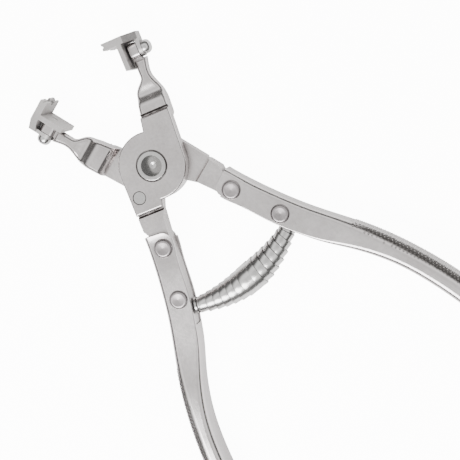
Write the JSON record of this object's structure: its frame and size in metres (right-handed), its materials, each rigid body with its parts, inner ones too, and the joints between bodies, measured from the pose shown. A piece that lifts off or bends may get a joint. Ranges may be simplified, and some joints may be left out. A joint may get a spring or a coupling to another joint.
{
  "type": "crimping pliers",
  "caption": "Spring-opened crimping pliers with pressed channel handles and swivelling saddle tips, for closing clamps and crimps.",
  "frame": {"origin": "centre of the flat rear face of the pivot rivet's head, which lies on the surface the tool rests on; millimetre model exported in metres", "axes": "+X from the pivot towards the jaws, along the line that halves the open tool; +Z along the pivot axis, away from the surface it lies on; +Y on the side of lever B's jaw and lever A's handle"},
  "size_m": [0.1921, 0.144, 0.016],
  "materials": {
    "forged_steel": "satin nickel plate over forged steel",
    "handle_steel": "bright nickel plate over pressed sheet steel",
    "rivet_steel": "satin",
    "pin_steel": "satin nickel plate",
    "spring_steel": "bright plated strip",
    "saddle_steel": "machined and plated",
    "washer_steel": "plain"
  },
  "bodies": {
    "lever_a": {"lever_a_forging": "forged_steel", "handle_channel_a": "handle_steel", "rivet_a_fore": "rivet_steel", "rivet_a_aft": "rivet_steel", "pivot_rivet": "pin_steel", "pivot_collar": "pin_steel", "stop_pin": "pin_steel", "spring_post_a": "pin_steel", "return_spring": "spring_steel"},
    "lever_b": {"lever_b_forging": "forged_steel", "handle_channel_b": "handle_steel", "rivet_b_fore": "rivet_steel", "rivet_b_aft": "rivet_steel", "spring_post_b": "pin_steel"},
    "tip_a": {"saddle_a": "saddle_steel", "swivel_pin_a": "pin_steel", "swivel_washer_a": "washer_steel"},
    "tip_b": {"saddle_b": "saddle_steel", "swivel_pin_b": "pin_steel", "swivel_washer_b": "washer_steel"}
  },
  "joints": [
    {"name": "lever_pivot", "type": "hinge", "parent": "lever_a", "child": "lever_b", "pos_m": [0, 0, 0.008], "axis": [0, 0, -1], "range_deg": [0, 37], "stiffness_Nm_per_rad": 4, "springref_deg": -12.61, "deforming": ["return_spring"]},
    {"name": "tip_a_swivel", "type": "hinge", "parent": "lever_a", "child": "tip_a", "pos_m": [0.04258, -0.01425, 0.008], "axis": [0.3173, 0.9483, 0], "range_deg": [-75, 75]},
    {"name": "tip_b_swivel", "type": "hinge", "parent": "lever_b", "child": "tip_b", "pos_m": [0.04258, 0.01425, 0.008], "axis": [0.3173, -0.9483, 0], "range_deg": [-75, 75]}
  ]
}
